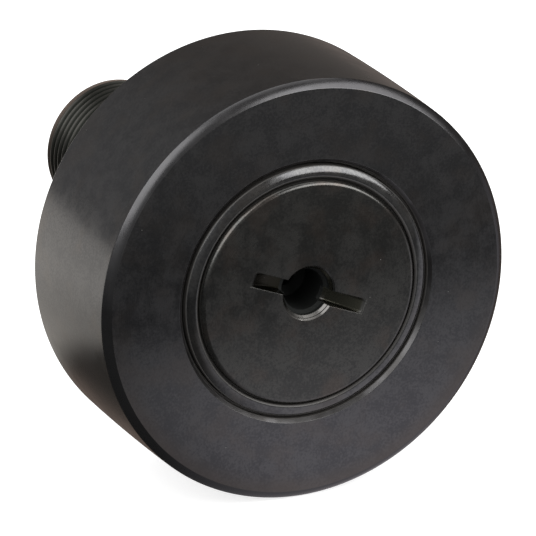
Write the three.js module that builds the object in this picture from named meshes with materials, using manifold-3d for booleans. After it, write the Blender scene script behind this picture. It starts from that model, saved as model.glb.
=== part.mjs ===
// A 72 mm cam follower: a crowned outer ring that turns on two rows of cylindrical rollers round a
// threaded stud. The axis of rotation is Y. y = 0 is the shoulder that is clamped to a machine wall: the
// stud's shank and thread point along +Y, and the ring and the stud's slotted head are on the -Y side.
// Millimetres, +Z up.
import * as THREE from "three";
import { mergeVertices } from "three/addons/utils/BufferGeometryUtils.js";
import Module from "manifold-3d";

const wasm = await Module();
wasm.setup();

// ---------------------------------------------------------------- driving dimensions
// Outer ring
const RING_DIAMETER = 72;
const RING_WIDTH = 29;
const RING_CROWN_RADIUS = 500; // the tread's curve across its width
const RING_CORNER_RADIUS = 2.2; // the tread's corners are arcs that run smoothly into the tread
const RING_CORNER_WIDTH = 1.95; // and meet the faces at a crisp edge
const RING_BORE_CHAMFER = 1;

// How far the stud's parts stand past the ring's two faces
const HEAD_PROUD = 0.8;
const SHOULDER_PROUD = 0.7;

// Rollers, two rows with no cage
const ROLLERS_IN_ROW = 16;
const ROLLER_DIAMETER = 6.8;
const ROLLER_LENGTH = 9.4;
const ROLLER_CHAMFER = 0.4;
const PITCH_RADIUS = 17.5; // the circle that the rollers' own axes lie on
const RACEWAY_CLEARANCE = 0.1; // roller to raceway, on each side
const END_CLEARANCE = 0.2; // roller to flange or rib, at each end
const RIB_WIDTH = 2.5;
const RIB_RADIUS = 18.9;

// Shields
const SHIELD_SEAT_RADIUS = 21.5;
const SHIELD_INNER_RADIUS = 19.4;
const SHIELD_THICKNESS = 0.8;
const SHIELD_PROUD = 0.2; // how far a shield stands past the ring's face
const SHIELD_DEPTH = 2.5; // length of its pressed leg along the axis
const SHIELD_BEVEL = 0.9;
const SHIELD_BEVEL_DROP = 0.7;
const SHIELD_LIP = 0.3; // edge break round its inner rim
const PRESSED_GAP = 0.1; // pressed pieces keep this gap, so that no two solids touch

// Stud
const FLANGE_RADIUS = 18.95; // the head and the rear flange ring have one diameter
const GUIDE_RADIUS = 20.2; // both widen behind the shields, which makes a labyrinth that hides the rollers
const GUIDE_CLEARANCE = 0.3; // from a shield to that wider part
const HEAD_CHAMFER = 0.65;
const SHANK_RADIUS = 12;
const SHANK_LENGTH = 49.5;
const THREAD_LENGTH = 25;
const THREAD_PITCH = 1.5;
const THREAD_CREST_RADIUS = 11.95;
const THREAD_ROOT_RADIUS = 11.08;
const END_CHAMFER = 1.5;
const RING_SEAT_RADIUS = 12.4; // where the rear flange ring is pressed on
const SHOULDER_RELIEF = 0.5; // edge breaks of the rear flange ring, and the undercut beside the shank

// Slot in the head, cut by a disc
const SLOT_WIDTH = 2.5;
const SLOT_DEPTH = 3.5;
const SLOT_CUTTER_RADIUS = 18;
const SLOT_ANGLE = THREE.MathUtils.degToRad(158.4); // from +X towards +Z

// Grease ports, oil ducts and the hexagon socket
const PORT_COUNTERSINK_RADIUS = 4.8;
const PORT_RADIUS = 3.5;
const PORT_DEPTH = 9;
const PORT_RIM_DEPTH = 1.3;
const DUCT_RADIUS = 2;
const DRILL_POINT = 0.9; // length of the cone between a port and the duct
const HEX_ACROSS_FLATS = 14;
const HEX_DEPTH = 9;
const HEX_MOUTH_RADIUS = 8.6;
const SHANK_OIL_HOLE_AT = 11; // from the shoulder

// Facets in a full turn
const STUD_SEGMENTS = 36;
const RING_SEGMENTS = 48;
const ROLLER_SEGMENTS = 12;
const HOLE_SEGMENTS = 12;
const CUTTER_SEGMENTS = 96;
const OVERSHOOT = 1; // how far a cutter reaches past the face that it cuts

// ---------------------------------------------------------------- places worked out from them
const RING_REAR = -SHOULDER_PROUD;
const RING_FRONT = RING_REAR - RING_WIDTH;
const MIDDLE = (RING_REAR + RING_FRONT) / 2;
const HEAD_FACE = RING_FRONT - HEAD_PROUD;
const INNER_RACEWAY_RADIUS = PITCH_RADIUS - ROLLER_DIAMETER / 2 - RACEWAY_CLEARANCE;
const OUTER_RACEWAY_RADIUS = PITCH_RADIUS + ROLLER_DIAMETER / 2 + RACEWAY_CLEARANCE;
// From the middle to a row's centre, to a flange's guiding face, and to the step behind a shield
const ROW_OFFSET = RIB_WIDTH / 2 + END_CLEARANCE + ROLLER_LENGTH / 2;
const FLANGE_OFFSET = ROW_OFFSET + ROLLER_LENGTH / 2 + END_CLEARANCE;
const GUIDE_STEP_OFFSET = RING_WIDTH / 2 + SHIELD_PROUD - SHIELD_THICKNESS - GUIDE_CLEARANCE;
const THREAD_START = SHANK_LENGTH - THREAD_LENGTH;

// ---------------------------------------------------------------- materials
const blackRing = new THREE.MeshStandardMaterial({ color: 0x35332f, roughness: 0.42, metalness: 0.85 });
const blackStud = new THREE.MeshStandardMaterial({ color: 0x2b2825, roughness: 0.5, metalness: 0.8 });
const blackShield = new THREE.MeshStandardMaterial({ color: 0x26252a, roughness: 0.3, metalness: 0.85 });
const brightSteel = new THREE.MeshStandardMaterial({ color: 0xb9bcc0, roughness: 0.2, metalness: 1 });

// ---------------------------------------------------------------- helpers
/** A body turned round Y. Its outline is a closed loop of [radius, y], anticlockwise. */
function turned(outline, segments) {
  const points = outline.map(([radius, y]) => new THREE.Vector2(radius, y));
  if (outline[0][0] > 0) {
    points.push(points[0].clone());
  }
  return new THREE.LatheGeometry(points, segments);
}

/** The same outline on the other side of the ring's middle plane. */
function mirrored(outline) {
  return outline.map(([radius, y]) => [radius, 2 * MIDDLE - y]).reverse();
}

function solidFrom(geometry) {
  const bare = new THREE.BufferGeometry();
  bare.setAttribute("position", geometry.getAttribute("position"));
  bare.setIndex(geometry.getIndex());
  const merged = mergeVertices(bare);
  return new wasm.Manifold(
    new wasm.Mesh({
      numProp: 3,
      vertProperties: new Float32Array(merged.getAttribute("position").array),
      triVerts: new Uint32Array(merged.getIndex().array),
    }),
  );
}

function geometryFrom(solid) {
  const mesh = solid.getMesh();
  const geometry = new THREE.BufferGeometry();
  geometry.setAttribute("position", new THREE.BufferAttribute(mesh.vertProperties, 3));
  geometry.setIndex(new THREE.BufferAttribute(mesh.triVerts, 1));
  geometry.computeVertexNormals();
  return geometry;
}

function named(name, geometry, material) {
  const mesh = new THREE.Mesh(geometry, material);
  mesh.name = name;
  return mesh;
}

// ---------------------------------------------------------------- outer ring
/** The tread from front to rear: a corner arc at each end, and the crown between them. */
function treadOutline() {
  const cornerSteps = 3;
  const crownSteps = 6;
  const halfCrown = RING_WIDTH / 2 - RING_CORNER_WIDTH;
  const cornerRadius = RING_DIAMETER / 2 - crownDrop(halfCrown) - RING_CORNER_RADIUS;
  const cornerSpan = Math.asin(RING_CORNER_WIDTH / RING_CORNER_RADIUS);
  const front = [];
  for (let i = 0; i < cornerSteps; i++) {
    const angle = cornerSpan * (1 - i / cornerSteps);
    const y = MIDDLE - halfCrown - RING_CORNER_RADIUS * Math.sin(angle);
    front.push([cornerRadius + RING_CORNER_RADIUS * Math.cos(angle), y]);
  }
  const crown = [];
  for (let i = 0; i <= crownSteps; i++) {
    const fromMiddle = halfCrown * ((2 * i) / crownSteps - 1);
    crown.push([RING_DIAMETER / 2 - crownDrop(fromMiddle), MIDDLE + fromMiddle]);
  }
  return [...front, ...crown, ...mirrored(front)];
}

function crownDrop(fromMiddle) {
  return fromMiddle ** 2 / (2 * RING_CROWN_RADIUS);
}

function outerRing() {
  const seatEnd = RING_FRONT - SHIELD_PROUD + SHIELD_DEPTH + PRESSED_GAP;
  const frontHalfOfBore = [
    [RIB_RADIUS, MIDDLE - RIB_WIDTH / 2],
    [OUTER_RACEWAY_RADIUS, MIDDLE - RIB_WIDTH / 2],
    [OUTER_RACEWAY_RADIUS, seatEnd],
    [SHIELD_SEAT_RADIUS, seatEnd],
    [SHIELD_SEAT_RADIUS, RING_FRONT + RING_BORE_CHAMFER],
    [SHIELD_SEAT_RADIUS + RING_BORE_CHAMFER, RING_FRONT],
  ];
  const outline = [...treadOutline(), ...mirrored(frontHalfOfBore), ...frontHalfOfBore];
  return turned(outline, RING_SEGMENTS);
}

// ---------------------------------------------------------------- shields
function shieldOutline() {
  const face = RING_FRONT - SHIELD_PROUD;
  const outer = SHIELD_SEAT_RADIUS - PRESSED_GAP;
  return [
    [SHIELD_INNER_RADIUS, face + SHIELD_LIP],
    [SHIELD_INNER_RADIUS + SHIELD_LIP, face],
    [outer - SHIELD_BEVEL, face],
    [outer, face + SHIELD_BEVEL_DROP],
    [outer, face + SHIELD_DEPTH],
    [outer - SHIELD_THICKNESS, face + SHIELD_DEPTH],
    [outer - SHIELD_THICKNESS, face + SHIELD_THICKNESS],
    [SHIELD_INNER_RADIUS, face + SHIELD_THICKNESS],
  ];
}

// ---------------------------------------------------------------- rollers
function rollerGeometry() {
  const radius = ROLLER_DIAMETER / 2;
  const half = ROLLER_LENGTH / 2;
  const outline = [
    [0, -half],
    [radius - ROLLER_CHAMFER, -half],
    [radius, -half + ROLLER_CHAMFER],
    [radius, half - ROLLER_CHAMFER],
    [radius - ROLLER_CHAMFER, half],
    [0, half],
  ];
  return turned(outline, ROLLER_SEGMENTS);
}

/** One full row. The roller numbered 01 lies startAngle from +X towards +Z. */
function rollerRow(prefix, y, startAngle) {
  const row = new THREE.Group();
  row.position.y = y;
  const geometry = rollerGeometry();
  for (let i = 0; i < ROLLERS_IN_ROW; i++) {
    const angle = startAngle + (2 * Math.PI * i) / ROLLERS_IN_ROW;
    const roller = named(`${prefix}_${String(i + 1).padStart(2, "0")}`, geometry, brightSteel);
    roller.position.set(PITCH_RADIUS * Math.cos(angle), 0, PITCH_RADIUS * Math.sin(angle));
    row.add(roller);
  }
  return row;
}

// ---------------------------------------------------------------- rear flange ring
function rearFlangeRing() {
  const bore = RING_SEAT_RADIUS + PRESSED_GAP;
  const front = MIDDLE + FLANGE_OFFSET;
  const outline = [
    [bore, front],
    [GUIDE_RADIUS, front],
    [GUIDE_RADIUS, MIDDLE + GUIDE_STEP_OFFSET],
    [FLANGE_RADIUS, MIDDLE + GUIDE_STEP_OFFSET],
    [FLANGE_RADIUS, -SHOULDER_RELIEF],
    [FLANGE_RADIUS - SHOULDER_RELIEF, 0],
    [bore + SHOULDER_RELIEF, 0],
    [bore, -SHOULDER_RELIEF],
  ];
  return turned(outline, STUD_SEGMENTS);
}

// ---------------------------------------------------------------- stud
/** Head, inner raceway and plain shank, up to where the thread starts. */
function studBlank() {
  const headInner = MIDDLE - FLANGE_OFFSET;
  const racewayEnd = MIDDLE + FLANGE_OFFSET - PRESSED_GAP;
  return solidFrom(
    turned(
      [
        [0, HEAD_FACE],
        [FLANGE_RADIUS - HEAD_CHAMFER, HEAD_FACE],
        [FLANGE_RADIUS, HEAD_FACE + HEAD_CHAMFER],
        [FLANGE_RADIUS, MIDDLE - GUIDE_STEP_OFFSET],
        [GUIDE_RADIUS, MIDDLE - GUIDE_STEP_OFFSET],
        [GUIDE_RADIUS, headInner],
        [INNER_RACEWAY_RADIUS, headInner],
        [INNER_RACEWAY_RADIUS, racewayEnd],
        [RING_SEAT_RADIUS, racewayEnd],
        [RING_SEAT_RADIUS, -SHOULDER_RELIEF],
        [SHANK_RADIUS, -SHOULDER_RELIEF],
        [SHANK_RADIUS, THREAD_START],
        [0, THREAD_START],
      ],
      STUD_SEGMENTS,
    ),
  );
}

/** A right-hand threaded rod round Y. Its rows are crests and roots in turn. */
function threadedRod(start, turns) {
  const columns = STUD_SEGMENTS;
  const rows = 2 * turns + 1;
  const climb = 2; // a row joins the second row above it after one turn
  const positions = [];
  for (let column = 0; column < columns; column++) {
    const angle = (2 * Math.PI * column) / columns;
    for (let row = 0; row < rows; row++) {
      const radius = row % 2 === 0 ? THREAD_CREST_RADIUS : THREAD_ROOT_RADIUS;
      const y = start + THREAD_PITCH * (row / climb + column / columns);
      positions.push(radius * Math.sin(angle), y, radius * Math.cos(angle));
    }
  }
  const vertex = (column, row) => (column === columns ? row + climb : column * rows + row);

  const triangles = [];
  for (let column = 0; column < columns; column++) {
    const lastRow = column === columns - 1 ? rows - climb - 1 : rows - 1;
    for (let row = 0; row < lastRow; row++) {
      const low = vertex(column, row);
      const nextLow = vertex(column + 1, row);
      const high = vertex(column, row + 1);
      const nextHigh = vertex(column + 1, row + 1);
      triangles.push(low, nextLow, nextHigh, low, nextHigh, high);
    }
  }

  // Each end is a fan from the axis to the ramp's edge and its one step.
  const bottomCentre = positions.length / 3;
  const topCentre = bottomCentre + 1;
  positions.push(0, start, 0);
  positions.push(0, start + THREAD_PITCH * (turns + 1), 0);
  const bottomLoop = [];
  const topLoop = [];
  for (let column = 0; column < columns; column++) {
    bottomLoop.push(vertex(column, 0));
    topLoop.push(vertex(column, rows - 1));
  }
  for (let step = climb; step > 0; step--) {
    bottomLoop.push(vertex(0, step));
    topLoop.push(vertex(columns - 1, rows - 2 - (climb - step)));
  }
  bottomLoop.forEach((low, i) => {
    triangles.push(bottomCentre, bottomLoop[(i + 1) % bottomLoop.length], low);
  });
  topLoop.forEach((high, i) => {
    triangles.push(topCentre, high, topLoop[(i + 1) % topLoop.length]);
  });

  const geometry = new THREE.BufferGeometry();
  geometry.setAttribute("position", new THREE.Float32BufferAttribute(positions, 3));
  geometry.setIndex(triangles);
  return solidFrom(geometry);
}

/** The threaded stretch, cut square where it laps into the shank, and chamfered at its end. */
function threadedEnd() {
  const lap = 0.5;
  const outside = SHANK_RADIUS + OVERSHOOT;
  const chamferFrom = SHANK_LENGTH - END_CHAMFER - OVERSHOOT;
  const space = solidFrom(
    turned(
      [
        [0, THREAD_START - lap],
        [outside, THREAD_START - lap],
        [outside, chamferFrom],
        [SHANK_RADIUS - END_CHAMFER, SHANK_LENGTH],
        [0, SHANK_LENGTH],
      ],
      STUD_SEGMENTS,
    ),
  );
  const spareTurns = 4;
  const turns = Math.ceil(THREAD_LENGTH / THREAD_PITCH) + spareTurns;
  return threadedRod(THREAD_START - 2 * THREAD_PITCH, turns).intersect(space);
}

/** The disc that cuts the screwdriver slot, standing on edge in front of the head. */
function slotCutter() {
  const radius = SLOT_CUTTER_RADIUS;
  const disc = new THREE.CylinderGeometry(radius, radius, SLOT_WIDTH, CUTTER_SEGMENTS);
  disc.rotateX(Math.PI / 2);
  disc.rotateY(-SLOT_ANGLE);
  disc.translate(0, HEAD_FACE + SLOT_DEPTH - radius, 0);
  return solidFrom(disc);
}

/** The grease port in the head, the long duct, and the port at the bottom of the hexagon socket. */
function axialDuct() {
  const portEnd = HEAD_FACE + PORT_DEPTH;
  const socketFloor = SHANK_LENGTH - HEX_DEPTH;
  return solidFrom(
    turned(
      [
        [0, HEAD_FACE - OVERSHOOT],
        [PORT_COUNTERSINK_RADIUS + OVERSHOOT, HEAD_FACE - OVERSHOOT],
        [PORT_RADIUS, HEAD_FACE + PORT_RIM_DEPTH],
        [PORT_RADIUS, portEnd],
        [DUCT_RADIUS, portEnd + DRILL_POINT],
        [DUCT_RADIUS, socketFloor - PORT_DEPTH - DRILL_POINT],
        [PORT_RADIUS, socketFloor - PORT_DEPTH],
        [PORT_RADIUS, socketFloor + OVERSHOOT],
        [0, socketFloor + OVERSHOOT],
      ],
      HOLE_SEGMENTS * 2,
    ),
  );
}

function hexSocket() {
  const cornerRadius = HEX_ACROSS_FLATS / Math.sqrt(3);
  const height = HEX_DEPTH + OVERSHOOT;
  const hexagon = new THREE.CylinderGeometry(cornerRadius, cornerRadius, height, 6);
  hexagon.translate(0, SHANK_LENGTH - HEX_DEPTH + height / 2, 0);
  const mouthDepth = HEX_MOUTH_RADIUS - HEX_ACROSS_FLATS / 2;
  const mouth = turned(
    [
      [0, SHANK_LENGTH - mouthDepth],
      [HEX_ACROSS_FLATS / 2, SHANK_LENGTH - mouthDepth],
      [HEX_MOUTH_RADIUS + OVERSHOOT, SHANK_LENGTH + OVERSHOOT],
      [0, SHANK_LENGTH + OVERSHOOT],
    ],
    STUD_SEGMENTS,
  );
  return solidFrom(hexagon).add(solidFrom(mouth));
}

/** A hole from the duct up through the stud's top side. */
function radialOilHole(y, surfaceRadius) {
  const length = surfaceRadius + OVERSHOOT;
  const drill = new THREE.CylinderGeometry(DUCT_RADIUS, DUCT_RADIUS, length, HOLE_SEGMENTS);
  drill.rotateX(Math.PI / 2);
  drill.translate(0, y, length / 2);
  return solidFrom(drill);
}

function stud() {
  const cutters = [
    slotCutter(),
    axialDuct(),
    hexSocket(),
    radialOilHole(MIDDLE, INNER_RACEWAY_RADIUS),
    radialOilHole(SHANK_OIL_HOLE_AT, SHANK_RADIUS),
  ];
  const turnedStud = studBlank().add(threadedEnd());
  return geometryFrom(cutters.reduce((body, cutter) => body.subtract(cutter), turnedStud));
}

// ---------------------------------------------------------------- the assembly
const camFollower = new THREE.Group();
camFollower.add(named("stud", stud(), blackStud));
camFollower.add(named("rear_flange_ring", rearFlangeRing(), blackStud));
camFollower.add(named("outer_ring", outerRing(), blackRing));
camFollower.add(named("front_shield", turned(shieldOutline(), RING_SEGMENTS), blackShield));
camFollower.add(named("rear_shield", turned(mirrored(shieldOutline()), RING_SEGMENTS), blackShield));
camFollower.add(rollerRow("front_roller", MIDDLE - ROW_OFFSET, 0));
camFollower.add(rollerRow("rear_roller", MIDDLE + ROW_OFFSET, Math.PI / ROLLERS_IN_ROW));

export default camFollower;
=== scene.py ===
"""The looks of a cam follower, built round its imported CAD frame.

The follower turns about Y. Its slotted head faces -Y and its threaded stud points along +Y. Sizes are in
millimetres until a mesh or an object is made, and the outer sizes and places are read from the frame.
"""

import math

import bpy
from mathutils import Matrix, Vector


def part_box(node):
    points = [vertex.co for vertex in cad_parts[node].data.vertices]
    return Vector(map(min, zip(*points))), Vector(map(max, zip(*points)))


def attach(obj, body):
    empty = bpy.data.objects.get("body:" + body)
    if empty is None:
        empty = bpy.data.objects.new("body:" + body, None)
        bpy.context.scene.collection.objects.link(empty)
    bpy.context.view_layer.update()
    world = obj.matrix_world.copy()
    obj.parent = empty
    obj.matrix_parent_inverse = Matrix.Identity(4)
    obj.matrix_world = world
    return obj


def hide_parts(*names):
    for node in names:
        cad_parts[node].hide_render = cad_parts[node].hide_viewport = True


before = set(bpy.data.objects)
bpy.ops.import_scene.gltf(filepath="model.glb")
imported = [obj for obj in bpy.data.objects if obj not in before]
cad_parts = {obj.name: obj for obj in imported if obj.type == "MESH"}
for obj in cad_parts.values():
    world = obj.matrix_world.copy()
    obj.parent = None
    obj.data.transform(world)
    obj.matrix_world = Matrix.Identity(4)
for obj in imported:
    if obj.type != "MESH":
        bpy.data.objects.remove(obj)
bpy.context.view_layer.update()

MM = 0.001


def span(node):
    """A CAD node's lowest and highest y, and its highest z. On a piece turned round the axis, that z is its
    radius. The first front roller lies level with the axis, so there it is the roller's own radius.
    """
    low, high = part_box(node)
    return low.y / MM, high.y / MM, high.z / MM


# ---------------------------------------------------------------- places read from the frame
RING_FRONT, RING_REAR, RING_RADIUS = span("outer_ring")
HEAD_FACE, STUD_END, GUIDE_RADIUS = span("stud")
FRONT_SHIELD_FACE, FRONT_SHIELD_END, SHIELD_RADIUS = span("front_shield")
FLANGE_INNER, SHOULDER = span("rear_flange_ring")[:2]
ROLLER_START, ROLLER_END, ROLLER_RADIUS = span("front_roller_01")
MIDDLE = (RING_FRONT + RING_REAR) / 2
FLOOR = -RING_RADIUS

# ---------------------------------------------------------------- the rest of the driving dimensions
CROWN_RADIUS = 500
CORNER_RADIUS = 3.85  # the shallow arc that breaks the ring's outer corners
CORNER_START = math.radians(25)  # how far that arc leans out of the face where it starts
CORNER_END = math.radians(50)  # and where it ends
CORNER_BLEND = 0.3  # the small arc from there into the tread
RING_EDGE_RADIUS = 34.43  # where the ring's faces end
BORE_MOUTH_RADIUS = 21.95
BORE_CHAMFER = 0.6
BORE_CHAMFER_INNER_EDGE = 0.12
BORE_CHAMFER_OUTER_EDGE = 0.08
BORE_STEP_DEPTH = 1.7  # from the ring's face to the step down to the shield's seat
SEAT_GAP = 0.1
RIB_RADIUS = 18.9
RIB_WIDTH = 2.5
RIB_EDGE = 0.25
OUTER_RACEWAY_RADIUS = 21
INNER_RACEWAY_RADIUS = 14
ROLLER_CHAMFER = 0.4
ROLLER_DIMPLE = 0.15  # depth of the hollow in a roller's ends
ROLLER_DIMPLE_RIM = 0.6 * ROLLER_RADIUS
ROLLER_DIMPLE_FLOOR = 0.45 * ROLLER_RADIUS
ROLLER_DIMPLE_EDGE = 0.5

SHIELD_INNER_RADIUS = 19.4
SHIELD_THICKNESS = 0.8
SHIELD_RIM_ROUND = 0.6  # radius round the inner rim
SHIELD_RIM_START = math.radians(-55)  # how far that round leans inwards where it starts
SHIELD_DISH_RADIUS = 2.65  # radius of the shallow arc from there to the bend
SHIELD_DISH_START = math.radians(6)  # how far that arc leans outwards where it starts
SHIELD_DISH_END = math.radians(38)  # and where it ends
SHIELD_BEND_ACROSS = 0.5  # the slanted corner inside the bend
SHIELD_BEND_DEEP = 0.3

FLANGE_RADIUS = 18.95
GUIDE_STEP_DEPTH = 0.9  # from the ring's face to the wider step behind a shield
HEAD_EDGE_RADIUS = 0.85  # the arc round the edge of the head
HEAD_EDGE_START = math.radians(8)
HEAD_EDGE_END = math.radians(72)
SHOULDER_EDGE = 0.5
RING_SEAT_RADIUS = 12.4
SHANK_RADIUS = 12

THREAD_LENGTH = 25
THREAD_PITCH = 1.5
THREAD_CREST_RADIUS = 11.95
THREAD_DEPTH = 0.87
THREAD_RUN_OUT = 2.2  # length over which the groove fades out beside the shank
THREAD_SHOULDER = 0.3  # the shank's edge break where the thread starts
END_ROUND = 2  # radius of the stud's rounded end

SLOT_WIDTH = 2.5
SLOT_DEPTH = 3.5
SLOT_CUTTER_RADIUS = 18
SLOT_CORNER = 0.45  # radius between the slot's floor and its walls
SLOT_EDGE = 0.09  # edge break where the slot meets the head's face
SLOT_ANGLE = math.radians(158.4)  # from +X towards +Z

PORT_RIM_RADIUS = 4.7
PORT_STEP_RADIUS = 4.42
PORT_STEP_DEPTH = 0.5
PORT_STEP_EDGE = 0.06
PORT_NECK_RADIUS = 4.03
PORT_NECK_DEPTH = 1.6
PORT_RADIUS = 3.5
PORT_DEPTH = 9
DUCT_RADIUS = 2
DRILL_POINT = 0.9
HEX_ACROSS_FLATS = 14
HEX_DEPTH = 9
HEX_MOUTH_RADIUS = 8.6
SOCKET_PORT_EDGE = 0.5  # edge break of the port at the bottom of the socket
SHANK_OIL_HOLE = 11  # from the shoulder
OIL_HOLE_EDGE = 0.35

# Corner radii of turned edges.
FINE_EDGE = 0.1
SMALL_EDGE = 0.15
SOFT_EDGE = 0.2
WIDE_EDGE = 0.3

RING_SEGMENTS = 288
STUD_SEGMENTS = 192
HOLE_SEGMENTS = 64
ROLLER_SEGMENTS = 64
ARC_STEPS = 8  # straight steps along a large arc of an outline
FILLET_STEPS = 6  # and round a small corner
BLEND_STEPS = 5
CROWN_STEPS = 16
END_STEPS = 10
ROOM_STEPS = 24
OVERSHOOT = 1  # how far a cutter reaches past the face that it cuts
SHARP_ANGLE = math.radians(20)
NORMAL_WEIGHT = 90

# ---------------------------------------------------------------- finish
BARE_OXIDE = 0.95  # how metallic a clean oxide is
OILY_DIRT = 0.15  # and dirt in a gap
DUST = (0.45, 0.44, 0.42, 1)
PAINTED_BROWN_REFLECTION_START = 31.0  # radius from which a painted brown reflection grows on the lower half of the ring, out to its tread
PAINTED_BROWN_REFLECTION_SHARE = 0.6

# ---------------------------------------------------------------- camera
CAMERA_AZIMUTH = math.radians(-25.0749)
CAMERA_ELEVATION = math.radians(20.4871)
CAMERA_DISTANCE = 1194.47
CAMERA_LENS = 496
SENSOR_WIDTH = 36
AIM_ALONG_AXIS = -28.2  # the camera aims at this point of the axis
AIM_RIGHT = -5.641  # moved by this much in the picture
AIM_UP = 3.354

# ---------------------------------------------------------------- stage
FLOOR_HALF = 20000
FLOOR_GLOW_HALF = 2000
FLOOR_DROP = 0.1  # how far the visible floor lies under the ring
FLOOR_GLOW_DROP = 0.05  # and the floor that only shows in reflections
ROOM_RADIUS = 5000


# ---------------------------------------------------------------- outlines
def rounded(corners):
    """A closed outline of (radius, y) points. A corner with a third number is rounded to that radius."""
    points = []
    for i, corner in enumerate(corners):
        here = Vector(corner[:2])
        if len(corner) == 2:
            points.append(tuple(here))
            continue
        back = (Vector(corners[i - 1][:2]) - here).normalized()
        ahead = (Vector(corners[(i + 1) % len(corners)][:2]) - here).normalized()
        half = back.angle(ahead) / 2
        radius = corner[2]
        centre = here + (back + ahead).normalized() * radius / math.sin(half)
        start = here + back * radius / math.tan(half) - centre
        turn = math.pi - 2 * half
        if back.x * ahead.y - back.y * ahead.x > 0:
            turn = -turn
        for step in range(FILLET_STEPS + 1):
            point = centre + Matrix.Rotation(turn * step / FILLET_STEPS, 2) @ start
            points.append(tuple(point))
    return points


def mirrored(outline):
    """The same outline on the other side of the ring's middle plane."""
    return [(corner[0], 2 * MIDDLE - corner[1], *corner[2:]) for corner in reversed(outline)]


def arc(centre, radius, start, end, steps):
    """Points of (radius, y) on an arc. Its angles are measured from -Y towards the outside."""
    points = []
    for step in range(steps + 1):
        angle = start + (end - start) * step / steps
        points.append((centre[0] + radius * math.sin(angle), centre[1] - radius * math.cos(angle)))
    return points


def tread_outline():
    """The tread from front to rear: two arcs at each corner, and the crown between them."""
    corner_depth = CORNER_RADIUS * (math.cos(CORNER_START) - math.cos(CORNER_END))
    corner_depth += CORNER_BLEND * math.cos(CORNER_END)
    half_crown = (RING_REAR - RING_FRONT) / 2 - corner_depth
    blend_centre = (RING_RADIUS - half_crown**2 / (2 * CROWN_RADIUS) - CORNER_BLEND, MIDDLE - half_crown)
    inwards = CORNER_RADIUS - CORNER_BLEND
    corner_centre = (
        blend_centre[0] - inwards * math.sin(CORNER_END),
        blend_centre[1] + inwards * math.cos(CORNER_END),
    )
    front = [
        *arc(corner_centre, CORNER_RADIUS, CORNER_START, CORNER_END, ARC_STEPS)[:-1],
        *arc(blend_centre, CORNER_BLEND, CORNER_END, math.pi / 2, BLEND_STEPS)[:-1],
    ]
    crown = []
    for step in range(CROWN_STEPS + 1):
        from_middle = half_crown * (2 * step / CROWN_STEPS - 1)
        crown.append((RING_RADIUS - from_middle**2 / (2 * CROWN_RADIUS), MIDDLE + from_middle))
    return [*front, *crown, *mirrored(front)]


def ring_outline():
    """The outer ring. Its two sides are the same."""
    seat = SHIELD_RADIUS + SEAT_GAP
    seat_end = FRONT_SHIELD_END + SEAT_GAP
    front_bore = [
        (RIB_RADIUS, MIDDLE - RIB_WIDTH / 2, RIB_EDGE),
        (OUTER_RACEWAY_RADIUS, MIDDLE - RIB_WIDTH / 2, WIDE_EDGE),
        (OUTER_RACEWAY_RADIUS, seat_end, SMALL_EDGE),
        (seat, seat_end, SMALL_EDGE),
        (seat, RING_FRONT + BORE_STEP_DEPTH, FINE_EDGE),
        (BORE_MOUTH_RADIUS, RING_FRONT + BORE_STEP_DEPTH, SMALL_EDGE),
        (BORE_MOUTH_RADIUS, RING_FRONT + BORE_CHAMFER, BORE_CHAMFER_INNER_EDGE),
        (BORE_MOUTH_RADIUS + BORE_CHAMFER, RING_FRONT, BORE_CHAMFER_OUTER_EDGE),
    ]
    return rounded([*tread_outline(), *mirrored(front_bore), *front_bore])


def dish_arcs():
    """The front shield's outside: round its inner rim, out along the shallow dish, and round the bend."""
    rim_radius = SHIELD_INNER_RADIUS - SHIELD_RIM_ROUND * math.sin(SHIELD_RIM_START)
    rim_centre = Vector((rim_radius, FRONT_SHIELD_FACE + SHIELD_RIM_ROUND))
    lean = Vector((math.sin(SHIELD_DISH_START), -math.cos(SHIELD_DISH_START)))
    dish_centre = rim_centre - (SHIELD_DISH_RADIUS - SHIELD_RIM_ROUND) * lean
    lean = Vector((math.sin(SHIELD_DISH_END), -math.cos(SHIELD_DISH_END)))
    dish_end = dish_centre + SHIELD_DISH_RADIUS * lean
    bend = (SHIELD_RADIUS - dish_end.x) / (1 - lean.x)
    bend_centre = dish_end - bend * lean
    return [
        *arc(rim_centre, SHIELD_RIM_ROUND, SHIELD_RIM_START, SHIELD_DISH_START, ARC_STEPS)[:-1],
        *arc(dish_centre, SHIELD_DISH_RADIUS, SHIELD_DISH_START, SHIELD_DISH_END, ARC_STEPS)[:-1],
        *arc(bend_centre, bend, SHIELD_DISH_END, math.pi / 2, ARC_STEPS),
    ]


def shield_outline():
    """The front shield: a dished ring of sheet that bends round into a leg pressed in the seat."""
    inner_face = FRONT_SHIELD_FACE + SHIELD_THICKNESS
    leg = SHIELD_RADIUS - SHIELD_THICKNESS
    return [
        *dish_arcs(),
        (SHIELD_RADIUS, FRONT_SHIELD_END, FINE_EDGE),
        (leg, FRONT_SHIELD_END, FINE_EDGE),
        (leg, inner_face + SHIELD_BEND_DEEP, WIDE_EDGE),
        (leg - SHIELD_BEND_ACROSS, inner_face, WIDE_EDGE),
        (SHIELD_INNER_RADIUS, inner_face, FINE_EDGE),
    ]


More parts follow.
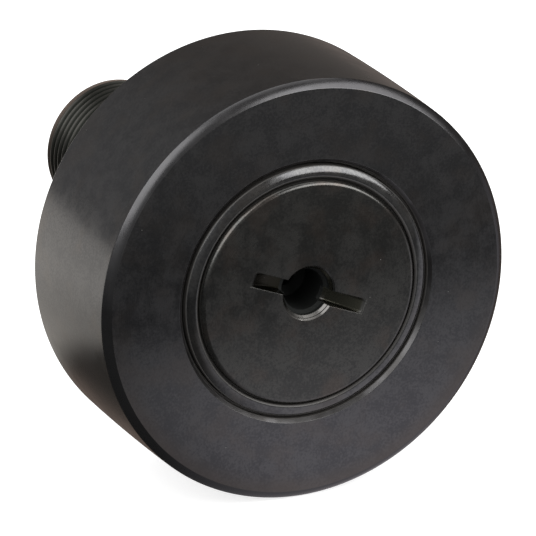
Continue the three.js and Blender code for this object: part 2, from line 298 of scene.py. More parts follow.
def flange_outline():
    """The flange ring pressed on the stud behind the rear rollers. Its rear face is the shoulder."""
    bore = RING_SEAT_RADIUS + SEAT_GAP
    step = RING_REAR - GUIDE_STEP_DEPTH
    return rounded(
        [
            (bore, FLANGE_INNER, SOFT_EDGE),
            (GUIDE_RADIUS, FLANGE_INNER, SOFT_EDGE),
            (GUIDE_RADIUS, step, SMALL_EDGE),
            (FLANGE_RADIUS, step, SMALL_EDGE),
            (FLANGE_RADIUS, SHOULDER - SHOULDER_EDGE, SMALL_EDGE),
            (FLANGE_RADIUS - SHOULDER_EDGE, SHOULDER, SMALL_EDGE),
            (bore + SHOULDER_EDGE, SHOULDER, FINE_EDGE),
            (bore, SHOULDER - SHOULDER_EDGE, FINE_EDGE),
        ]
    )


def roller_outline():
    """A roller about its own middle, with a shallow hollow in each end."""
    half = (ROLLER_END - ROLLER_START) / 2
    front = [
        (0, -half + ROLLER_DIMPLE),
        (ROLLER_DIMPLE_FLOOR, -half + ROLLER_DIMPLE, ROLLER_DIMPLE_EDGE),
        (ROLLER_DIMPLE_RIM, -half, WIDE_EDGE),
        (ROLLER_RADIUS - ROLLER_CHAMFER, -half, SMALL_EDGE),
        (ROLLER_RADIUS, -half + ROLLER_CHAMFER, WIDE_EDGE),
    ]
    rear = [(corner[0], -corner[1], *corner[2:]) for corner in reversed(front)]
    return rounded([*front, *rear])


# ---------------------------------------------------------------- meshes
def mesh_from(name, points, faces):
    """A mesh from points in millimetres."""
    mesh = bpy.data.meshes.new(name)
    mesh.from_pydata([(x * MM, y * MM, z * MM) for x, y, z in points], [], faces)
    mesh.validate()
    return mesh


def turned(name, outline, segments):
    """An outline of (radius, y) turned round Y. It closes on itself, or starts and ends on the axis."""
    solid = outline[0][0] == 0
    rim = outline[1:-1] if solid else outline
    points = []
    for segment in range(segments):
        angle = 2 * math.pi * segment / segments
        for radius, y in rim:
            points.append((radius * math.cos(angle), y, radius * math.sin(angle)))
    rows = len(rim)
    faces = []
    for segment in range(segments):
        here = segment * rows
        after = (segment + 1) % segments * rows
        for row in range(rows - 1 if solid else rows):
            above = (row + 1) % rows
            faces.append((here + row, here + above, after + above, after + row))
    if solid:
        first = len(points)
        points.append((0, outline[0][1], 0))
        points.append((0, outline[-1][1], 0))
        for segment in range(segments):
            here = segment * rows
            after = (segment + 1) % segments * rows
            faces.append((first, here, after))
            faces.append((here + rows - 1, first + 1, after + rows - 1))
    return mesh_from(name, points, faces)


def prism(name, bottom, top):
    """A closed solid between two outlines of as many points each."""
    count = len(bottom)
    sides = [(i, (i + 1) % count, count + (i + 1) % count, count + i) for i in range(count)]
    caps = [tuple(reversed(range(count))), tuple(range(count, 2 * count))]
    return mesh_from(name, [*bottom, *top], [*sides, *caps])


def thread_section():
    """One pitch of the thread, as (share of the pitch, share of the depth): crest, flank and round root."""
    return [
        (0.0, 0.05),
        (0.03, 0.0),
        (0.095, 0.0),
        (0.125, 0.05),
        (0.46, 0.92),
        (0.50, 0.99),
        (0.5625, 1.02),
        (0.625, 0.99),
        (0.665, 0.92),
    ]


def threaded_rod():
    """A right-hand thread round Y. Each row of points climbs one pitch in a turn, so the rows join up."""
    section = thread_section()
    climb = len(section)
    spare_turns = 2  # at each end, to be trimmed off
    start = STUD_END - THREAD_LENGTH - spare_turns * THREAD_PITCH
    turns = math.ceil(THREAD_LENGTH / THREAD_PITCH) + 2 * spare_turns
    rows = climb * turns + 1
    fade_from = STUD_END - THREAD_LENGTH
    columns = STUD_SEGMENTS
    points = []
    for column in range(columns):
        angle = 2 * math.pi * column / columns
        for row in range(rows):
            share, depth = section[row % climb]
            y = start + THREAD_PITCH * (row // climb + share + column / columns)
            fade = min(1, max(0, (y - fade_from) / THREAD_RUN_OUT))
            radius = THREAD_CREST_RADIUS - THREAD_DEPTH * depth * fade
            points.append((radius * math.sin(angle), y, radius * math.cos(angle)))

    def vertex(column, row):
        return row + climb if column == columns else column * rows + row

    faces = []
    for column in range(columns):
        last = rows - climb - 1 if column == columns - 1 else rows - 1
        for row in range(last):
            low, high = vertex(column, row), vertex(column, row + 1)
            next_low, next_high = vertex(column + 1, row), vertex(column + 1, row + 1)
            faces.append((low, next_low, next_high, high))
    bottom_loop = [vertex(column, 0) for column in range(columns)]
    bottom_loop += [vertex(0, row) for row in range(climb, 0, -1)]
    top_loop = [vertex(column, rows - 1) for column in range(columns)]
    top_loop += [vertex(columns - 1, row) for row in range(rows - 2, rows - 2 - climb, -1)]
    bottom_centre = len(points)
    points.append((0, start, 0))
    points.append((0, start + THREAD_PITCH * (turns + 1), 0))
    for i, low in enumerate(bottom_loop):
        faces.append((bottom_centre, bottom_loop[(i + 1) % len(bottom_loop)], low))
    for i, high in enumerate(top_loop):
        faces.append((bottom_centre + 1, high, top_loop[(i + 1) % len(top_loop)]))
    return mesh_from("threaded_rod", points, faces)


# ---------------------------------------------------------------- solids joined and cut
def loose(mesh):
    """An object in the scene for a mesh."""
    piece = bpy.data.objects.new(mesh.name, mesh)
    bpy.context.scene.collection.objects.link(piece)
    return piece


def combine(piece, operation, tool_mesh):
    """Joins, cuts or trims piece with another mesh."""
    tool = loose(tool_mesh)
    modifier = piece.modifiers.new("combine", "BOOLEAN")
    modifier.operation = operation
    modifier.solver = "MANIFOLD"
    modifier.object = tool
    bpy.context.view_layer.update()
    evaluated = piece.evaluated_get(bpy.context.evaluated_depsgraph_get())
    combined = bpy.data.meshes.new_from_object(evaluated)
    piece.modifiers.clear()
    piece.data = combined
    bpy.data.objects.remove(tool)


def head_edge():
    """The arc round the head, from its face to its side."""
    inwards = HEAD_EDGE_RADIUS * math.sin(HEAD_EDGE_END)
    centre = (FLANGE_RADIUS - inwards, HEAD_FACE + HEAD_EDGE_RADIUS * math.cos(HEAD_EDGE_START))
    return arc(centre, HEAD_EDGE_RADIUS, HEAD_EDGE_START, HEAD_EDGE_END, ARC_STEPS)


def stud_blank():
    """The stud as turned, before its thread is added and its slot, socket and holes are cut."""
    head_step = RING_FRONT + GUIDE_STEP_DEPTH
    head_inner = 2 * MIDDLE - FLANGE_INNER
    raceway_end = FLANGE_INNER - SEAT_GAP
    thread_start = STUD_END - THREAD_LENGTH
    outline = rounded(
        [
            (0, HEAD_FACE),
            *head_edge(),
            (FLANGE_RADIUS, head_step, SMALL_EDGE),
            (GUIDE_RADIUS, head_step, SMALL_EDGE),
            (GUIDE_RADIUS, head_inner, SOFT_EDGE),
            (INNER_RACEWAY_RADIUS, head_inner, SOFT_EDGE),
            (INNER_RACEWAY_RADIUS, raceway_end, SOFT_EDGE),
            (RING_SEAT_RADIUS, raceway_end),
            (RING_SEAT_RADIUS, SHOULDER - SHOULDER_EDGE, FINE_EDGE),
            (SHANK_RADIUS, SHOULDER - SHOULDER_EDGE, FINE_EDGE),
            (SHANK_RADIUS, thread_start - THREAD_SHOULDER, WIDE_EDGE),
            (SHANK_RADIUS - THREAD_SHOULDER, thread_start),
            (0, thread_start),
        ]
    )
    return turned("stud_blank", outline, STUD_SEGMENTS)


def thread_space():
    """The room that the thread is trimmed to: square at its start and rounded at its end."""
    lap = 0.4
    outside = SHANK_RADIUS + OVERSHOOT
    end_centre = (SHANK_RADIUS - END_ROUND, STUD_END - END_ROUND)
    outline = [
        (0, STUD_END - THREAD_LENGTH - lap),
        (outside, STUD_END - THREAD_LENGTH - lap),
        (outside, STUD_END - END_ROUND - OVERSHOOT),
        *arc(end_centre, END_ROUND, math.pi / 2, math.pi, END_STEPS),
        (0, STUD_END),
    ]
    return turned("thread_space", outline, STUD_SEGMENTS)


def slot_disc():
    """The disc that cuts the slot, with rounded edges, standing on edge in front of the head."""
    half = SLOT_WIDTH / 2
    outline = rounded(
        [
            (0, -half),
            (SLOT_CUTTER_RADIUS, -half, SLOT_CORNER),
            (SLOT_CUTTER_RADIUS, half, SLOT_CORNER),
            (0, half),
        ]
    )
    disc = turned("slot_disc", outline, 2 * STUD_SEGMENTS)
    disc.transform(Matrix.Rotation(math.pi / 2, 4, "X"))
    disc.transform(Matrix.Rotation(-SLOT_ANGLE, 4, "Y"))
    disc.transform(Matrix.Translation((0, (HEAD_FACE + SLOT_DEPTH - SLOT_CUTTER_RADIUS) * MM, 0)))
    return disc


def slot_edge_break():
    """A long shallow wedge that breaks the two edges of the slot at the head's face."""
    rise = SLOT_CUTTER_RADIUS - SLOT_DEPTH
    half_length = math.sqrt(SLOT_CUTTER_RADIUS**2 - rise**2)
    half_width = SLOT_WIDTH / 2

    def rectangle(grow, y):
        length, width = half_length + grow, half_width + grow
        return [(-length, y, -width), (length, y, -width), (length, y, width), (-length, y, width)]

    wedge = prism(
        "slot_edge_break",
        rectangle(0, HEAD_FACE + SLOT_EDGE),
        rectangle(OVERSHOOT, HEAD_FACE + SLOT_EDGE - OVERSHOOT),
    )
    wedge.transform(Matrix.Rotation(-SLOT_ANGLE, 4, "Y"))
    return wedge


def axial_duct():
    """The grease port in the head, the long duct, and the port at the bottom of the hexagon socket."""
    neck_start = HEAD_FACE + PORT_STEP_DEPTH + PORT_STEP_RADIUS - PORT_NECK_RADIUS
    port_end = HEAD_FACE + PORT_DEPTH
    socket_floor = STUD_END - HEX_DEPTH
    outline = rounded(
        [
            (0, HEAD_FACE - OVERSHOOT),
            (PORT_RIM_RADIUS + OVERSHOOT, HEAD_FACE - OVERSHOOT),
            (PORT_STEP_RADIUS, HEAD_FACE + PORT_RIM_RADIUS - PORT_STEP_RADIUS, PORT_STEP_EDGE),
            (PORT_STEP_RADIUS, HEAD_FACE + PORT_STEP_DEPTH, PORT_STEP_EDGE),
            (PORT_NECK_RADIUS, neck_start, FINE_EDGE),
            (PORT_NECK_RADIUS, HEAD_FACE + PORT_NECK_DEPTH, FINE_EDGE),
            (PORT_RADIUS, HEAD_FACE + PORT_NECK_DEPTH + PORT_NECK_RADIUS - PORT_RADIUS, FINE_EDGE),
            (PORT_RADIUS, port_end),
            (DUCT_RADIUS, port_end + DRILL_POINT),
            (DUCT_RADIUS, socket_floor - PORT_DEPTH - DRILL_POINT),
            (PORT_RADIUS, socket_floor - PORT_DEPTH),
            (PORT_RADIUS, socket_floor - SOCKET_PORT_EDGE, SOFT_EDGE),
            (PORT_RADIUS + SOCKET_PORT_EDGE + OVERSHOOT, socket_floor + OVERSHOOT),
            (0, socket_floor + OVERSHOOT),
        ]
    )
    return turned("axial_duct", outline, 2 * HOLE_SEGMENTS)


def hexagon(corner_radius, y):
    """The corners of a hexagon square to the axis."""
    corners = []
    for corner in range(6):
        angle = math.pi / 6 + corner * math.pi / 3
        corners.append((corner_radius * math.cos(angle), y, corner_radius * math.sin(angle)))
    return corners


def hex_socket():
    """The room inside the hexagon socket."""
    corner_radius = HEX_ACROSS_FLATS / math.sqrt(3)
    floor = STUD_END - HEX_DEPTH
    return prism("hex_socket", hexagon(corner_radius, STUD_END + OVERSHOOT), hexagon(corner_radius, floor))


def hex_mouth():
    """The countersink round the hexagon socket."""
    depth = HEX_MOUTH_RADIUS - HEX_ACROSS_FLATS / 2
    outline = rounded(
        [
            (0, STUD_END - depth),
            (HEX_ACROSS_FLATS / 2, STUD_END - depth),
            (HEX_MOUTH_RADIUS, STUD_END, SOFT_EDGE),
            (HEX_MOUTH_RADIUS + OVERSHOOT, STUD_END + OVERSHOOT),
            (0, STUD_END + OVERSHOOT),
        ]
    )
    return turned("hex_mouth", outline, STUD_SEGMENTS)


def oil_hole(y, surface_radius):
    """A hole from the duct up through the stud's top side, countersunk a little."""
    outline = rounded(
        [
            (0, 0),
            (DUCT_RADIUS, 0),
            (DUCT_RADIUS, surface_radius - OIL_HOLE_EDGE, SOFT_EDGE),
            (DUCT_RADIUS + OIL_HOLE_EDGE + OVERSHOOT, surface_radius + OVERSHOOT),
            (0, surface_radius + OVERSHOOT),
        ]
    )
    drill = turned("oil_hole", outline, HOLE_SEGMENTS)
    drill.transform(Matrix.Rotation(math.pi / 2, 4, "X"))
    drill.transform(Matrix.Translation((0, y * MM, 0)))
    return drill


def stud_mesh():
    """The stud with its thread, its slot, its socket and its oil ways."""
    rod = loose(threaded_rod())
    combine(rod, "INTERSECT", thread_space())
    stud = loose(stud_blank())
    combine(stud, "UNION", rod.data)
    bpy.data.objects.remove(rod)
    cutters = [
        slot_disc(),
        slot_edge_break(),
        axial_duct(),
        hex_socket(),
        hex_mouth(),
        oil_hole(MIDDLE, INNER_RACEWAY_RADIUS),
        oil_hole(SHANK_OIL_HOLE, SHANK_RADIUS),
    ]
    for cutter in cutters:
        combine(stud, "DIFFERENCE", cutter)
    mesh = stud.data
    bpy.data.objects.remove(stud)
    return mesh


# ---------------------------------------------------------------- shader nodes
def grey(level):
    return (level, level, level, 1)


class Shader:
    """One material's nodes. A value is a number, a colour or the output of another node."""

    def __init__(self, name):
        self.material = bpy.data.materials.new(name)
        self.material.use_nodes = True
        self.tree = self.material.node_tree
        self.surface = self.tree.nodes["Principled BSDF"]

    def node(self, kind, inputs=None, **settings):
        made = self.tree.nodes.new(kind)
        for name, value in settings.items():
            setattr(made, name, value)
        for name, value in (inputs or {}).items():
            self.put(made.inputs[name], value)
        return made

    def put(self, socket, value):
        if isinstance(value, bpy.types.NodeSocket):
            self.tree.links.new(value, socket)
        else:
            socket.default_value = value

    def math(self, operation, first, second=0.0):
        made = self.node("ShaderNodeMath", {0: first, 1: second}, operation=operation)
        return made.outputs[0]

    def vector(self, x, y, z):
        return self.node("ShaderNodeCombineXYZ", {"X": x, "Y": y, "Z": z}).outputs[0]

    def noise(self, vector, scale, detail=3.0, roughness=0.55):
        inputs = {"Vector": vector, "Scale": scale, "Detail": detail, "Roughness": roughness}
        return self.node("ShaderNodeTexNoise", inputs).outputs["Fac"]

    def fade(self, value, low, high, to_low=0.0, to_high=1.0):
        """A smooth step of value from low to high, given as a number from to_low to to_high."""
        inputs = {"Value": value, 1: low, 2: high, 3: to_low, 4: to_high}
        made = self.node("ShaderNodeMapRange", inputs, interpolation_type="SMOOTHSTEP")
        return made.outputs[0]

    def mix(self, share, first, second):
        made = self.node("ShaderNodeMix", data_type="RGBA")
        self.put(made.inputs[0], share)
        self.put(made.inputs[6], first)
        self.put(made.inputs[7], second)
        return made.outputs[2]

    def millimetres(self):
        """The place on the piece, in millimetres, as x, y and z."""
        place = self.node("ShaderNodeTexCoord").outputs["Object"]
        scaled = self.node("ShaderNodeVectorMath", {0: place, "Scale": 1 / MM}, operation="SCALE")
        return scaled.outputs[0]

    def split(self, vector):
        return self.node("ShaderNodeSeparateXYZ", {0: vector}).outputs

    def length(self, x, y, z):
        made = self.node("ShaderNodeVectorMath", {0: self.vector(x, y, z)}, operation="LENGTH")
        return made.outputs["Value"]

    def both(self, *shares):
        """The product of two or more shares."""
        product = shares[0]
        for share in shares[1:]:
            product = self.math("MULTIPLY", product, share)
        return product

    def bump(self, height, distance, strength=1.0, normal=None):
        inputs = {"Height": height, "Distance": distance * MM, "Strength": strength}
        made = self.node("ShaderNodeBump", inputs)
        if normal is not None:
            self.put(made.inputs["Normal"], normal)
        return made.outputs[0]


def turning_marks(shader, place, lines_per_mm, drift):
    """Noise drawn out round the Y axis, as lathe and grinding marks are, on faces and cylinders alike."""
    x, y, z = shader.split(place)
    radius = shader.length(x, 0.0, z)
    along = shader.math("ADD", radius, shader.math("MULTIPLY", y, 1.37))
    around_x = shader.math("DIVIDE", x, shader.math("MAXIMUM", radius, 0.1))
    around_z = shader.math("DIVIDE", z, shader.math("MAXIMUM", radius, 0.1))
    stretched = shader.vector(
        shader.math("MULTIPLY", along, lines_per_mm),
        shader.math("MULTIPLY", around_x, drift),
        shader.math("MULTIPLY", around_z, drift),
    )
    return shader.noise(stretched, scale=1.0, detail=2.0)


def specks(shader, place, cells_per_mm, share, size):
    """Small separate dots: 1 in a dot and 0 elsewhere. Only a share of the cells holds one."""
    inputs = {"Vector": place, "Scale": cells_per_mm, "Randomness": 1.0}
    cells = shader.node("ShaderNodeTexVoronoi", inputs)
    red = shader.split(cells.outputs["Color"])[0]
    chosen = shader.math("LESS_THAN", red, share)
    dot = shader.fade(cells.outputs["Distance"], size, size * 0.5)
    return shader.math("MULTIPLY", chosen, dot)


def band(shader, value, low, high, edge):
    """1 where value lies between low and high, and 0 outside, with soft edges of this width."""
    return shader.both(shader.fade(value, low, low + edge), shader.fade(value, high, high - edge))


class Oxide:
    """The look of one kind of blackened steel: its colours, how rough it is, and how deep its marks are in
    millimetres.
    """

    def __init__(self, dark, light, brown, brown_share, roughness, mark_depth):
        self.dark = dark
        self.light = light
        self.brown = brown
        self.brown_share = brown_share
        self.roughness = roughness
        self.mark_depth = mark_depth


def oxide_black(name, look, regions):
    """Blackened steel: a thin dark oxide that reflects about a tenth of the light, with brown mottling.

    regions is a function that gives the stretches that differ, each as its share, its colour, how much
    rougher it is there, and how metallic. A later one lies over those before it.
    """
    shader = Shader(name)
    place = shader.millimetres()
    clouds = shader.noise(place, scale=0.28, detail=5.0, roughness=0.6)
    patches = shader.noise(place, scale=0.16, detail=4.0)
    grain = shader.noise(place, scale=2.6, detail=2.0)
    fine_marks = turning_marks(shader, place, lines_per_mm=5.0, drift=3.0)
    broad_marks = turning_marks(shader, place, lines_per_mm=0.9, drift=0.8)
    dust = specks(shader, place, cells_per_mm=0.55, share=0.09, size=0.055)

    half_clouds = shader.math("MULTIPLY", clouds, 0.5)
    half_grain = shader.math("MULTIPLY", grain, 0.5)
    mottle = shader.math("ADD", half_clouds, half_grain)
    colour = shader.mix(shader.fade(mottle, 0.41, 0.59), look.dark, look.light)
    brownish = shader.math("MULTIPLY", shader.fade(patches, 0.48, 0.66), look.brown_share)
    colour = shader.mix(brownish, colour, look.brown)

    uneven = shader.fade(clouds, 0.3, 0.7, look.roughness - 0.03, look.roughness + 0.04)
    lined = shader.math("MULTIPLY", shader.math("SUBTRACT", fine_marks, 0.5), 0.08)
    rough = shader.math("ADD", uneven, lined)
    metal = BARE_OXIDE
    for share, tint, rougher, metallic in regions(shader, place):
        colour = shader.mix(share, colour, tint)
        rough = shader.math("ADD", rough, shader.math("MULTIPLY", share, rougher))
        metal = shader.fade(share, 0.0, 1.0, metal, metallic)
    colour = shader.mix(shader.math("MULTIPLY", dust, 0.6), colour, DUST)
    rough = shader.math("ADD", rough, shader.math("MULTIPLY", dust, 0.3))
    shader.put(shader.surface.inputs["Base Color"], colour)
    shader.put(shader.surface.inputs["Roughness"], rough)
    shader.put(shader.surface.inputs["Metallic"], metal)
    shader.surface.inputs["Specular Tint"].default_value = (1.0, 0.975, 0.955, 1)

    normal = shader.bump(grain, 0.0012)
    normal = shader.bump(fine_marks, look.mark_depth, normal=normal)
    normal = shader.bump(broad_marks, look.mark_depth * 2, normal=normal)
    shader.put(shader.surface.inputs["Normal"], normal)
    return shader.material


def bright_steel(name):
    """Ground and superfinished roller steel."""
    shader = Shader(name)
    place = shader.millimetres()
    marks = turning_marks(shader, place, lines_per_mm=6.0, drift=1.0)
    clouds = shader.noise(place, scale=0.4, detail=3.0)
    colour = shader.mix(clouds, (0.56, 0.56, 0.57, 1), (0.66, 0.65, 0.64, 1))
    shader.put(shader.surface.inputs["Base Color"], colour)
    shader.surface.inputs["Metallic"].default_value = 1.0
    shader.put(shader.surface.inputs["Roughness"], shader.fade(marks, 0.2, 0.8, 0.12, 0.24))
    shader.put(shader.surface.inputs["Normal"], shader.bump(marks, 0.0015))
    return shader.material


# ---------------------------------------------------------------- pieces
def surfaced(mesh, material):
    """Gives a mesh its material, and shades it smooth between its sharp edges."""
    mesh.shade_smooth()
    mesh.set_sharp_from_angle(angle=SHARP_ANGLE)
    mesh.materials.clear()
    mesh.materials.append(material)
    return mesh


def finished(name, mesh, body, nodes, place=(0, 0, 0)):
    """Adds a piece of the follower that stands for CAD nodes and rides on their body."""
    piece = bpy.data.objects.new(name, mesh)
    bpy.context.scene.collection.objects.link(piece)
    piece.location = place
    weighted = piece.modifiers.new("even_normals", "WEIGHTED_NORMAL")
    weighted.keep_sharp = True
    weighted.weight = NORMAL_WEIGHT
    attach(piece, body)
    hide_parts(*nodes)


def ring_regions(shader, place):
    """What differs on the ring: a painted brown reflection low on its tread and near the edges of its
    faces, its turned corners with painted shade towards +x, the chamfers of its bore with duller stretches
    on them, and oily dirt in the bore.
    """
    x, _, z = shader.split(place)
    radius = shader.length(x, 0.0, z)
    corner = band(shader, radius, RING_EDGE_RADIUS, RING_RADIUS - 0.2, 0.1)
    # The corners' colour darkens towards +x: painted shade that dims the right softbox's highlight there.
    corner_with_painted_shade = shader.mix(shader.fade(x, -12.0, 10.0), (0.075, 0.074, 0.076, 1), (0.050, 0.049, 0.051, 1))
    mouth_end = BORE_MOUTH_RADIUS + BORE_CHAMFER + 0.05
    mouth = band(shader, radius, BORE_MOUTH_RADIUS - 0.05, mouth_end, 0.08)
    dull = shader.fade(shader.noise(place, scale=0.22, detail=2.0), 0.62, 0.40)
    inside = shader.fade(radius, BORE_MOUTH_RADIUS + 0.1, BORE_MOUTH_RADIUS)
    # The rim share below is a painted brown reflection: browner on the ring's lower half, near the faces'
    # edges and over the tread.
    outer = shader.fade(radius, PAINTED_BROWN_REFLECTION_START, RING_EDGE_RADIUS)
    rim = shader.both(outer, shader.fade(z, -2.0, -20.0), PAINTED_BROWN_REFLECTION_SHARE)
    return [
        (rim, (0.108, 0.094, 0.084, 1), 0.0, BARE_OXIDE),
        (corner, corner_with_painted_shade, 0.06, BARE_OXIDE),
        (mouth, (0.096, 0.094, 0.095, 1), 0.12, BARE_OXIDE),
        (shader.both(mouth, dull), (0.062, 0.060, 0.059, 1), 0.0, BARE_OXIDE),
        (inside, (0.050, 0.047, 0.044, 1), 0.3, OILY_DIRT),
    ]


def shield_regions(shader, place):
    """What differs on a shield: oily dirt down its two sides."""
    x, _, z = shader.split(place)
    radius = shader.length(x, 0.0, z)
    outer = shader.fade(radius, SHIELD_RADIUS - 0.25, SHIELD_RADIUS - 0.05)
    inner = shader.fade(radius, SHIELD_INNER_RADIUS + 0.5, SHIELD_INNER_RADIUS + 0.1)
    dirt = (0.034, 0.032, 0.030, 1)
    return [(outer, dirt, 0.3, OILY_DIRT), (inner, dirt, 0.3, OILY_DIRT)]


def make_ring_and_shields():
    ground = Oxide(
        dark=(0.076, 0.076, 0.079, 1),
        light=(0.104, 0.103, 0.105, 1),
        brown=(0.110, 0.099, 0.092, 1),
        brown_share=0.4,
        roughness=0.21,
        mark_depth=0.0012,
    )
    oxide = oxide_black("ring_black_oxide", ground, ring_regions)
    ring = surfaced(turned("outer_ring_ground", ring_outline(), RING_SEGMENTS), oxide)
    finished("outer_ring_ground", ring, "ring_body", ["outer_ring"])
    sheet = Oxide(
        dark=(0.080, 0.080, 0.082, 1),
        light=(0.112, 0.112, 0.111, 1),
        brown=(0.116, 0.106, 0.096, 1),
        brown_share=0.4,
        roughness=0.17,
        mark_depth=0.0008,
    )
    steel = oxide_black("shield_black_steel", sheet, shield_regions)
    for side, outline in (("front", shield_outline()), ("rear", mirrored(shield_outline()))):
        name = f"{side}_shield_pressed"
        shield = surfaced(turned(name, rounded(outline), RING_SEGMENTS), steel)
        finished(name, shield, "ring_body", [f"{side}_shield"])


def stud_regions(shader, place):
    """What differs on the stud: its olive-brown thread and slot, with painted shade in the thread's grooves
    and on the -x half of the slot, its browner end, a painted highlight on the lower half of the port's
    rim, the port's dark inside, and oily dirt down the side of the head.
    """
    x, y, z = shader.split(place)
    radius = shader.length(x, 0.0, z)
    from_face = shader.math("SUBTRACT", y, HEAD_FACE)
    threaded = shader.fade(y, STUD_END - THREAD_LENGTH - 0.5, STUD_END - THREAD_LENGTH + 0.5)
    # The thread is darker below its crests: painted shade in its grooves.
    groove = shader.fade(radius, THREAD_CREST_RADIUS - 0.05, THREAD_CREST_RADIUS - 0.4)
    end = shader.fade(y, STUD_END - END_ROUND, STUD_END - 0.6 * END_ROUND)
    slot = shader.both(
        band(shader, from_face, 0.15, SLOT_DEPTH + 1, 0.3),
        shader.fade(radius, SLOT_CUTTER_RADIUS * 0.7, SLOT_CUTTER_RADIUS * 0.65),
    )
    # The slot's olive floor is much darker on its -x half: painted shade there, over its own olive tone.
    olive = shader.mix(shader.fade(x, -3.0, 3.0), (0.0165, 0.0155, 0.0105, 1), (0.050, 0.049, 0.038, 1))
    neck = PORT_STEP_DEPTH + PORT_STEP_RADIUS - PORT_NECK_RADIUS
    port = shader.both(
        shader.fade(from_face, neck - 0.05, neck + 0.2),
        shader.fade(radius, PORT_NECK_RADIUS + 0.1, PORT_NECK_RADIUS),
    )
    # The rim share below is a painted highlight on the lower half of the port's rim, lighter towards -x.
    rim = shader.both(
        shader.fade(radius, PORT_RIM_RADIUS + 0.02, PORT_RIM_RADIUS - 0.04),
        shader.fade(radius, PORT_NECK_RADIUS - 0.1, PORT_NECK_RADIUS + 0.05),
        shader.fade(z, -1.5, -3.0),
    )
    painted_highlight = shader.mix(shader.fade(x, 0.5, 3.0), (0.215, 0.21, 0.20, 1), (0.125, 0.121, 0.116, 1))
    side = shader.both(
        shader.fade(from_face, 0.6, 0.9),
        shader.fade(radius, FLANGE_RADIUS - 0.1, FLANGE_RADIUS - 0.03),
    )
    dirt = (0.022, 0.021, 0.019, 1)
    return [
        (threaded, (0.043, 0.042, 0.038, 1), 0.06, BARE_OXIDE),
        (shader.both(threaded, groove), (0.012, 0.013, 0.011, 1), 0.1, BARE_OXIDE),
        (end, (0.120, 0.096, 0.082, 1), 0.15, BARE_OXIDE),
        (slot, olive, 0.0, BARE_OXIDE),
        (rim, painted_highlight, 0.0, BARE_OXIDE),
        (port, (0.0065, 0.0080, 0.0075, 1), 0.5, 0.5),
        (side, dirt, 0.3, OILY_DIRT),
    ]


def make_stud():
    """The stud, and the flange ring pressed on it."""
    turned_steel = Oxide(
        dark=(0.066, 0.066, 0.064, 1),
        light=(0.094, 0.093, 0.088, 1),
        brown=(0.108, 0.088, 0.076, 1),
        brown_share=0.45,
        roughness=0.24,
        mark_depth=0.0016,
    )
    oxide = oxide_black("stud_black_oxide", turned_steel, stud_regions)
    stud = surfaced(stud_mesh(), oxide)
    finished("stud_turned", stud, "stud_body", ["stud"])
    flange = surfaced(turned("rear_flange_turned", flange_outline(), RING_SEGMENTS), oxide)
    finished("rear_flange_turned", flange, "stud_body", ["rear_flange_ring"])


def make_rollers():
    steel = bright_steel("roller_bright_steel")
    mesh = surfaced(turned("roller_ground", roller_outline(), ROLLER_SEGMENTS), steel)
    for side in ("front", "rear"):
        for node in sorted(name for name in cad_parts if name.startswith(f"{side}_roller")):
            low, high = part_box(node)
            centre = (low + high) / 2
            finished(f"{node}_ground", mesh, f"{side}_row", [node], centre)


# ---------------------------------------------------------------- stage, lights and camera
def glow_card(name, mesh, colour_of):
    """Adds a stage object that only shows in reflections, and glows as colour_of says."""
    card = loose(mesh)
    card.name = name
    shader = Shader(name)
    shader.tree.nodes.remove(shader.surface)
    glow = shader.node("ShaderNodeEmission", {"Color": colour_of(shader)})
    output = shader.tree.nodes["Material Output"]
    shader.put(output.inputs["Surface"], glow.outputs[0])
    shader.material.cycles.emission_sampling = "NONE"
    mesh.materials.append(shader.material)
    card.visible_camera = False
    card.visible_diffuse = False
    card.visible_shadow = False
    card.visible_transmission = False


def square(name, half, z):
    """A level square at height z."""
    corners = [(-half, -half, z), (half, -half, z), (half, half, z), (-half, half, z)]
    return mesh_from(name, corners, [(0, 1, 2, 3)])


def floor_glow(shader):
    """What the table shows in the steel: bright behind on the left and dimmer behind on the right, dark
    under the ring, lit close in front of it on the right, then dark, and a little lighter far away.
    """
    x, y, _ = shader.split(shader.millimetres())
    left = shader.mix(shader.fade(y, 35.0, 120.0), (0.66, 0.645, 0.61, 1), (1.12, 1.10, 1.05, 1))
    behind = shader.mix(shader.fade(x, -20.0, 110.0), left, (0.22, 0.19, 0.175, 1))
    close = shader.mix(shader.fade(y, -100.0, -50.0), (0.52, 0.52, 0.545, 1), (0.74, 0.72, 0.78, 1))
    near = shader.mix(shader.fade(x, -32.0, 8.0), grey(0.05), close)
    dim = shader.mix(shader.fade(x, 0.0, 90.0), grey(0.02), (0.085, 0.083, 0.081, 1))
    distant = shader.mix(shader.fade(x, 0.0, 90.0), grey(0.16), (0.225, 0.223, 0.22, 1))
    far = shader.mix(shader.fade(y, -172.0, -135.0), distant, dim)
    slanted = shader.math("ADD", y, shader.math("MULTIPLY", x, 0.1))
    front = shader.mix(shader.fade(slanted, -103.0, -97.0), far, near)
    shadow = shader.mix(shader.fade(x, -38.0, -20.0), (0.07, 0.065, 0.06, 1), (0.20, 0.16, 0.14, 1))
    under = shader.mix(shader.fade(y, -27.0, -20.0), front, shadow)
    return shader.mix(shader.fade(y, 24.0, 42.0), under, behind)


def room_glow(shader):
    """The dim room above the table, darker and browner on the right."""
    direction = shader.node("ShaderNodeTexCoord").outputs["Object"]
    unit = shader.node("ShaderNodeVectorMath", {0: direction}, operation="NORMALIZE").outputs[0]
    x = shader.split(unit)[0]
    return shader.mix(shader.fade(x, -0.55, 0.35), (0.335, 0.337, 0.341, 1), (0.16, 0.147, 0.138, 1))


def room_outline():
    """Half a circle from the room's front to its back."""
    outline = [(0, -ROOM_RADIUS)]
    for step in range(1, ROOM_STEPS):
        angle = math.pi * step / ROOM_STEPS - math.pi / 2
        outline.append((ROOM_RADIUS * math.cos(angle), ROOM_RADIUS * math.sin(angle)))
    return [*outline, (0, ROOM_RADIUS)]


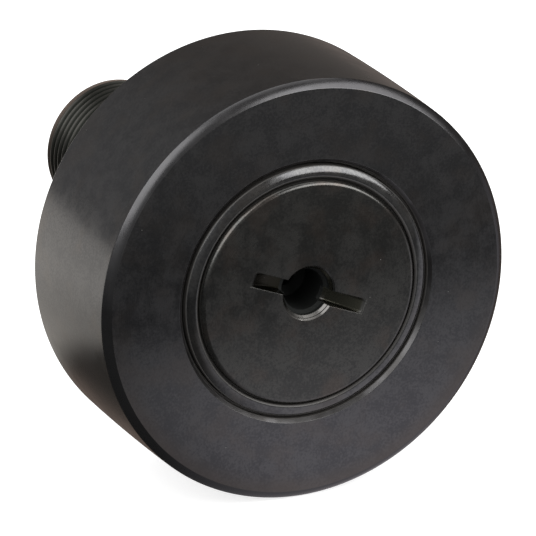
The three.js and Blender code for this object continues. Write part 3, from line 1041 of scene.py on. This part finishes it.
def make_stage():
    """The pale floor, the floor and the room that only show in reflections, and the white backdrop."""
    floor = loose(square("floor", FLOOR_HALF, FLOOR - FLOOR_DROP))
    shader = Shader("pale_floor")
    grain = shader.noise(shader.millimetres(), scale=0.02, detail=2.0)
    paper = shader.mix(grain, grey(0.5), grey(0.53))
    shader.put(shader.surface.inputs["Base Color"], paper)
    shader.surface.inputs["Roughness"].default_value = 0.9
    shader.surface.inputs["Specular IOR Level"].default_value = 0.0
    shader.surface.inputs["Emission Color"].default_value = (1, 1, 1, 1)
    shader.surface.inputs["Emission Strength"].default_value = 0.75
    shader.material.cycles.emission_sampling = "NONE"
    floor.data.materials.append(shader.material)
    floor.visible_glossy = False
    floor.visible_diffuse = False

    table = square("floor_in_reflections", FLOOR_GLOW_HALF, FLOOR - FLOOR_GLOW_DROP)
    glow_card("floor_in_reflections", table, floor_glow)
    room = turned("room_in_reflections", room_outline(), HOLE_SEGMENTS)
    glow_card("room_in_reflections", room, room_glow)

    world = bpy.data.worlds.new("white_backdrop")
    world.use_nodes = True
    world.node_tree.nodes["Background"].inputs["Color"].default_value = (1, 1, 1, 1)
    world.node_tree.nodes["Background"].inputs["Strength"].default_value = 1.0
    bpy.context.scene.world = world


def softbox(name, centre, size, radiance):
    """Adds a soft rectangular light that faces the follower. radiance says how bright its face is."""
    light = bpy.data.lights.new(name, "AREA")
    light.shape = "RECTANGLE"
    light.size, light.size_y = size[0] * MM, size[1] * MM
    light.energy = radiance * math.pi * light.size * light.size_y
    lamp = bpy.data.objects.new(name, light)
    lamp.location = Vector(centre) * MM
    towards = Vector((0, MIDDLE, 0)) - Vector(centre)
    lamp.rotation_euler = towards.to_track_quat("-Z", "Y").to_euler()
    lamp.visible_camera = False
    bpy.context.scene.collection.objects.link(lamp)


def make_lights():
    softbox("softbox_right", centre=(655, -775, 535), size=(1000, 740), radiance=4.4)
    softbox("softbox_left", centre=(-685, -449, 619), size=(800, 800), radiance=2.9)
    softbox("softbox_overhead", centre=(120, 0, 900), size=(800, 1000), radiance=1.2)


def make_camera():
    azimuth, elevation = CAMERA_AZIMUTH, CAMERA_ELEVATION
    back = Vector(
        (
            math.sin(azimuth) * math.cos(elevation),
            -math.cos(azimuth) * math.cos(elevation),
            math.sin(elevation),
        )
    )
    right = Vector((math.cos(azimuth), math.sin(azimuth), 0))
    up = back.cross(right)
    aim = Vector((0, AIM_ALONG_AXIS, 0)) + right * AIM_RIGHT + up * AIM_UP
    data = bpy.data.cameras.new("camera")
    data.sensor_width = SENSOR_WIDTH
    data.lens = CAMERA_LENS
    data.clip_start = 0.01
    data.clip_end = 100
    camera = bpy.data.objects.new("camera", data)
    camera.location = (aim + back * CAMERA_DISTANCE) * MM
    camera.rotation_euler = Matrix((right, up, back)).transposed().to_euler()
    bpy.context.scene.collection.objects.link(camera)
    bpy.context.scene.camera = camera


bpy.context.scene.view_settings.view_transform = "Standard"
make_camera()
make_ring_and_shields()
make_stud()
make_rollers()
make_stage()
make_lights()
